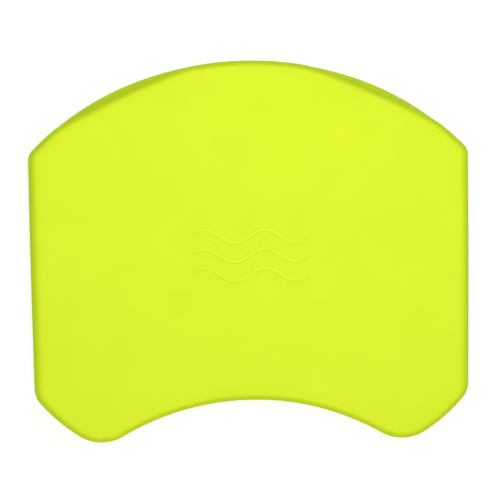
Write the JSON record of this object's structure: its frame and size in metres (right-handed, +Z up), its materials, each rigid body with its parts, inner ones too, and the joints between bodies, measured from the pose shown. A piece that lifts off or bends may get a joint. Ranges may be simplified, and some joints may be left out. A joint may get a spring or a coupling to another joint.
{
  "type": "kickboard float",
  "caption": "Flat foam swimming board with a rounded front, straight sides, softly rounded edges and a curved cut-out at the rear that fits the thighs or forearms.",
  "frame": {"origin": "on the underside of the board, below the middle of its outline", "axes": "+Z up through the thickness, +Y to the rounded front edge, +X across the board between its straight sides"},
  "size_m": [0.2896, 0.25, 0.0386],
  "materials": {
    "eva_foam": "matte",
    "bond_film": "satin"
  },
  "bodies": {
    "root": {"bottom_sheet": "eva_foam", "lower_bond_film": "bond_film", "core_sheet": "eva_foam", "upper_bond_film": "bond_film", "top_sheet": "eva_foam"}
  },
  "joints": []
}
